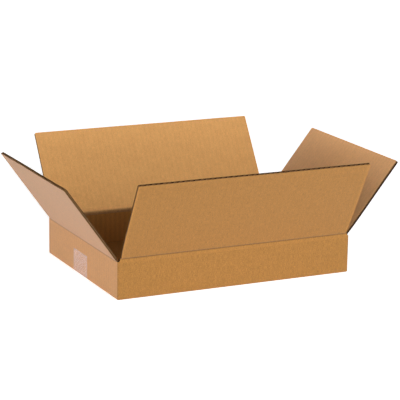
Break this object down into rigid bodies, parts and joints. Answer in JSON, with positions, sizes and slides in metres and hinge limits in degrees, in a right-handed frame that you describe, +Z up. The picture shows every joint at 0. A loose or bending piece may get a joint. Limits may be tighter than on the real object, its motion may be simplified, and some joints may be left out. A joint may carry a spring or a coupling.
{
  "type": "shallow slotted carton of corrugated board, top flaps open",
  "caption": "Shallow slotted shipping carton of brown corrugated board, taped bottom, with top flaps that fold open and shut.",
  "frame": {"origin": "middle of the carton's underside, on the surface that it stands on, at the middle of the taped seam", "axes": "+X along the carton's length towards the right end, +Y from the front long wall to the back one, +Z up out of the open top"},
  "size_m": [0.5207, 0.392, 0.1756],
  "materials": {
    "kraft_board": "matt kraft paper facings over a fluted core",
    "clear_tape": "clear glossy film, slightly cloudy where it is glued down"
  },
  "bodies": {
    "carton": {"carton_body": "kraft_board", "sealing_tape": "clear_tape"},
    "front_flap": {"front_flap": "kraft_board"},
    "back_flap": {"back_flap": "kraft_board"},
    "left_flap": {"left_flap": "kraft_board"},
    "right_flap": {"right_flap": "kraft_board"}
  },
  "joints": [
    {"name": "front_flap_crease", "type": "hinge", "parent": "carton", "child": "front_flap", "pos_m": [0, -0.1308, 0.0586], "axis": [1, 0, 0], "range_deg": [-117.6, 87.4]},
    {"name": "back_flap_crease", "type": "hinge", "parent": "carton", "child": "back_flap", "pos_m": [0, 0.1308, 0.0586], "axis": [-1, 0, 0], "range_deg": [-122.7, 82.3]},
    {"name": "left_flap_crease", "type": "hinge", "parent": "carton", "child": "left_flap", "pos_m": [-0.1816, 0, 0.0546], "axis": [0, -1, 0], "range_deg": [-125.8, 77.2]},
    {"name": "right_flap_crease", "type": "hinge", "parent": "carton", "child": "right_flap", "pos_m": [0.1816, 0, 0.0546], "axis": [0, 1, 0], "range_deg": [-128.8, 74.2]}
  ]
}
